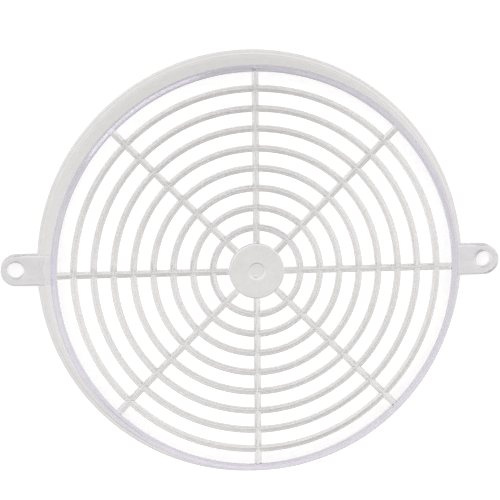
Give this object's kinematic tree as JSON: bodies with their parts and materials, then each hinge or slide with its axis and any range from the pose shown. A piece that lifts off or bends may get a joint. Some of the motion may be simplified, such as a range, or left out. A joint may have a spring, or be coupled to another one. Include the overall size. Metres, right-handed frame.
{
  "type": "evaporator fan guard",
  "caption": "Round clear plastic fan guard: a flared cup with a grille of concentric rings and radial spokes, a plain hub disc and a screw lug on each side.",
  "frame": {"origin": "on the guard's axis, in the plane of the back edge that it rests on", "axes": "+Z along the axis, out of the front of the grille; X through the centres of the two screw lugs"},
  "size_m": [0.1986, 0.1702, 0.0215],
  "materials": {
    "clear_plastic": "clear gloss"
  },
  "bodies": {
    "root": {"fan_guard": "clear_plastic"}
  },
  "joints": []
}
